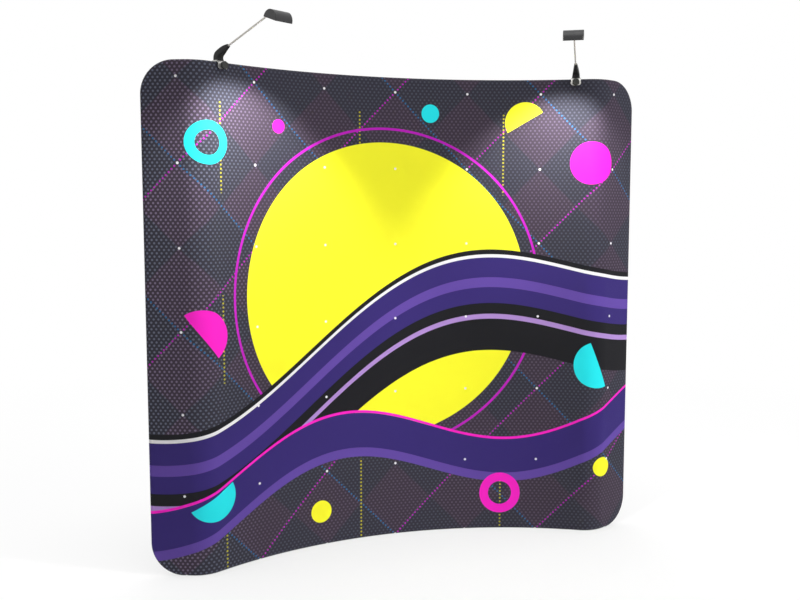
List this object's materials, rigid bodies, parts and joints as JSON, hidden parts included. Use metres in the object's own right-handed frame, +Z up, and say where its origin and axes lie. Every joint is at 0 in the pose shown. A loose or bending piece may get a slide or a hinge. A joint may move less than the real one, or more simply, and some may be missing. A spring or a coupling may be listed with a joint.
{
  "type": "pop up display backwall",
  "caption": "Free-standing curved fabric display wall with rounded corners, a push-fit tube frame inside a zipped stretch cover, and clip-on arm lights on its top rail.",
  "frame": {"origin": "middle of the bottom edge, on the floor, under the centre-line of the bottom rail", "axes": "+X along the wall to the viewer's right, +Y away from the viewer, +Z up"},
  "size_m": [2.4136, 0.6325, 2.4504],
  "materials": {
    "tube_aluminium": "satin extruded aluminium",
    "spring_steel": "bright spring steel",
    "printed_fabric": "matt dye-printed stretch knit",
    "plain_fabric": "matt stretch knit",
    "zip_plastic": "moulded coil on woven tape",
    "zip_metal": "nickel plated",
    "bracket_metal": "satin die-casting",
    "pad_rubber": "matt",
    "knob_plastic": "moulded",
    "pin_steel": "turned",
    "neck_plastic": "fine moulded texture",
    "inlet_plastic": "moulded socket",
    "rod_metal": "satin anodised",
    "shade_paint": "charcoal satin powder coat on die-cast aluminium",
    "board_white": "white solder mask",
    "lens_clear": "frosted clear cover"
  },
  "bodies": {
    "wall": {"top_tee": "tube_aluminium", "bottom_tee": "tube_aluminium", "upper_centre_pole": "tube_aluminium", "lower_centre_pole": "tube_aluminium", "top_rail_right": "tube_aluminium", "bottom_rail_right": "tube_aluminium", "upper_side_tube_right": "tube_aluminium", "lower_side_tube_right": "tube_aluminium", "top_rail_left": "tube_aluminium", "bottom_rail_left": "tube_aluminium", "upper_side_tube_left": "tube_aluminium", "lower_side_tube_left": "tube_aluminium", "front_cover_panel": "printed_fabric", "back_cover_panel": "plain_fabric", "zip_chain": "zip_plastic", "lamp_bracket_left": "bracket_metal", "swivel_pin_left": "pin_steel", "lamp_bracket_right": "bracket_metal", "swivel_pin_right": "pin_steel"},
    "snap_button_top_tee_right": {"snap_button_top_tee_right": "spring_steel"},
    "snap_button_top_rail_right": {"snap_button_top_rail_right": "spring_steel"},
    "snap_button_bottom_tee_right": {"snap_button_bottom_tee_right": "spring_steel"},
    "snap_button_bottom_rail_right": {"snap_button_bottom_rail_right": "spring_steel"},
    "snap_button_side_right": {"snap_button_side_right": "spring_steel"},
    "snap_button_top_tee_left": {"snap_button_top_tee_left": "spring_steel"},
    "snap_button_top_rail_left": {"snap_button_top_rail_left": "spring_steel"},
    "snap_button_bottom_tee_left": {"snap_button_bottom_tee_left": "spring_steel"},
    "snap_button_bottom_rail_left": {"snap_button_bottom_rail_left": "spring_steel"},
    "snap_button_side_left": {"snap_button_side_left": "spring_steel"},
    "snap_button_pole_top": {"snap_button_pole_top": "spring_steel"},
    "snap_button_pole_middle": {"snap_button_pole_middle": "spring_steel"},
    "snap_button_pole_bottom": {"snap_button_pole_bottom": "spring_steel"},
    "zip_slider": {"zip_slider": "zip_metal"},
    "zip_pull": {"zip_pull": "zip_metal"},
    "clamp_pad_left": {"clamp_pad_left": "pad_rubber"},
    "clamp_knob_left": {"clamp_knob_left": "knob_plastic"},
    "light_arm_left": {"lamp_neck_left": "neck_plastic", "power_inlet_left": "inlet_plastic", "lamp_arm_left": "rod_metal", "arm_knuckle_left": "neck_plastic", "tilt_pin_left": "pin_steel"},
    "light_head_left": {"lamp_shade_left": "shade_paint", "shade_cheek_a_left": "shade_paint", "shade_cheek_b_left": "shade_paint", "led_board_left": "board_white", "lamp_lens_left": "lens_clear"},
    "clamp_pad_right": {"clamp_pad_right": "pad_rubber"},
    "clamp_knob_right": {"clamp_knob_right": "knob_plastic"},
    "light_arm_right": {"lamp_neck_right": "neck_plastic", "power_inlet_right": "inlet_plastic", "lamp_arm_right": "rod_metal", "arm_knuckle_right": "neck_plastic", "tilt_pin_right": "pin_steel"},
    "light_head_right": {"lamp_shade_right": "shade_paint", "shade_cheek_a_right": "shade_paint", "shade_cheek_b_right": "shade_paint", "led_board_right": "board_white", "lamp_lens_right": "lens_clear"}
  },
  "joints": [
    {"name": "press_top_tee_right", "type": "slide", "parent": "wall", "child": "snap_button_top_tee_right", "axis": [0, 0, 1], "range_m": [0, 0.0045], "stiffness_N_per_m": 800, "springref_m": -0.004},
    {"name": "press_top_rail_right", "type": "slide", "parent": "wall", "child": "snap_button_top_rail_right", "axis": [0, 0, 1], "range_m": [0, 0.0045], "stiffness_N_per_m": 800, "springref_m": -0.004},
    {"name": "press_bottom_tee_right", "type": "slide", "parent": "wall", "child": "snap_button_bottom_tee_right", "axis": [0, 0, -1], "range_m": [0, 0.0045], "stiffness_N_per_m": 800, "springref_m": -0.004},
    {"name": "press_bottom_rail_right", "type": "slide", "parent": "wall", "child": "snap_button_bottom_rail_right", "axis": [0, 0, -1], "range_m": [0, 0.0045], "stiffness_N_per_m": 800, "springref_m": -0.004},
    {"name": "press_side_right", "type": "slide", "parent": "wall", "child": "snap_button_side_right", "axis": [0.9239, 0.3827, 0], "range_m": [0, 0.0045], "stiffness_N_per_m": 800, "springref_m": -0.004},
    {"name": "press_top_tee_left", "type": "slide", "parent": "wall", "child": "snap_button_top_tee_left", "axis": [0, 0, 1], "range_m": [0, 0.0045], "stiffness_N_per_m": 800, "springref_m": -0.004},
    {"name": "press_top_rail_left", "type": "slide", "parent": "wall", "child": "snap_button_top_rail_left", "axis": [0, 0, 1], "range_m": [0, 0.0045], "stiffness_N_per_m": 800, "springref_m": -0.004},
    {"name": "press_bottom_tee_left", "type": "slide", "parent": "wall", "child": "snap_button_bottom_tee_left", "axis": [0, 0, -1], "range_m": [0, 0.0045], "stiffness_N_per_m": 800, "springref_m": -0.004},
    {"name": "press_bottom_rail_left", "type": "slide", "parent": "wall", "child": "snap_button_bottom_rail_left", "axis": [0, 0, -1], "range_m": [0, 0.0045], "stiffness_N_per_m": 800, "springref_m": -0.004},
    {"name": "press_side_left", "type": "slide", "parent": "wall", "child": "snap_button_side_left", "axis": [-0.9239, 0.3827, 0], "range_m": [0, 0.0045], "stiffness_N_per_m": 800, "springref_m": -0.004},
    {"name": "press_pole_top", "type": "slide", "parent": "wall", "child": "snap_button_pole_top", "axis": [-1, 0, 0], "range_m": [0, 0.0045], "stiffness_N_per_m": 800, "springref_m": -0.004},
    {"name": "press_pole_middle", "type": "slide", "parent": "wall", "child": "snap_button_pole_middle", "axis": [-1, 0, 0], "range_m": [0, 0.0045], "stiffness_N_per_m": 800, "springref_m": -0.004},
    {"name": "press_pole_bottom", "type": "slide", "parent": "wall", "child": "snap_button_pole_bottom", "axis": [-1, 0, 0], "range_m": [0, 0.0045], "stiffness_N_per_m": 800, "springref_m": -0.004},
    {"name": "zip_travel", "type": "hinge", "parent": "wall", "child": "zip_slider", "pos_m": [0, -1.834, 0.06], "axis": [0, 0, 1], "range_deg": [0, 50]},
    {"name": "zip_pull_swing", "type": "hinge", "parent": "zip_slider", "child": "zip_pull", "pos_m": [0.78573, -0.14899, 0.06], "axis": [0.9063, -0.4226, 0], "range_deg": [0, 165]},
    {"name": "clamp_pad_slide_left", "type": "slide", "parent": "wall", "child": "clamp_pad_left", "axis": [0.4746, -0.8802, 0], "range_m": [0, 0.003]},
    {"name": "clamp_knob_turn_left", "type": "hinge", "parent": "clamp_pad_left", "child": "clamp_knob_left", "pos_m": [-0.87029, -0.22009, 2.2625], "axis": [0.4746, -0.8802, 0], "range_deg": [0, 864]},
    {"name": "arm_swivel_left", "type": "hinge", "parent": "wall", "child": "light_arm_left", "pos_m": [-0.87029, -0.22009, 2.2865], "axis": [0, 0, 1], "range_deg": [-60, 60]},
    {"name": "head_tilt_left", "type": "hinge", "parent": "light_arm_left", "child": "light_head_left", "pos_m": [-0.68866, -0.53091, 2.44541], "axis": [0.8634, 0.5045, 0], "range_deg": [-40, 40]},
    {"name": "clamp_pad_slide_right", "type": "slide", "parent": "wall", "child": "clamp_pad_right", "axis": [-0.4746, -0.8802, 0], "range_m": [0, 0.003]},
    {"name": "clamp_knob_turn_right", "type": "hinge", "parent": "clamp_pad_right", "child": "clamp_knob_right", "pos_m": [0.87029, -0.22009, 2.2625], "axis": [-0.4746, -0.8802, 0], "range_deg": [0, 864]},
    {"name": "arm_swivel_right", "type": "hinge", "parent": "wall", "child": "light_arm_right", "pos_m": [0.87029, -0.22009, 2.2865], "axis": [0, 0, 1], "range_deg": [-60, 60]},
    {"name": "head_tilt_right", "type": "hinge", "parent": "light_arm_right", "child": "light_head_right", "pos_m": [0.68866, -0.53091, 2.44541], "axis": [0.8634, -0.5045, 0], "range_deg": [-40, 40]}
  ],
  "couplings": [
    {"joint": "clamp_pad_slide_left", "follows": "clamp_knob_turn_left", "m_per_rad": 0.00019894},
    {"joint": "clamp_pad_slide_right", "follows": "clamp_knob_turn_right", "m_per_rad": 0.00019894}
  ]
}
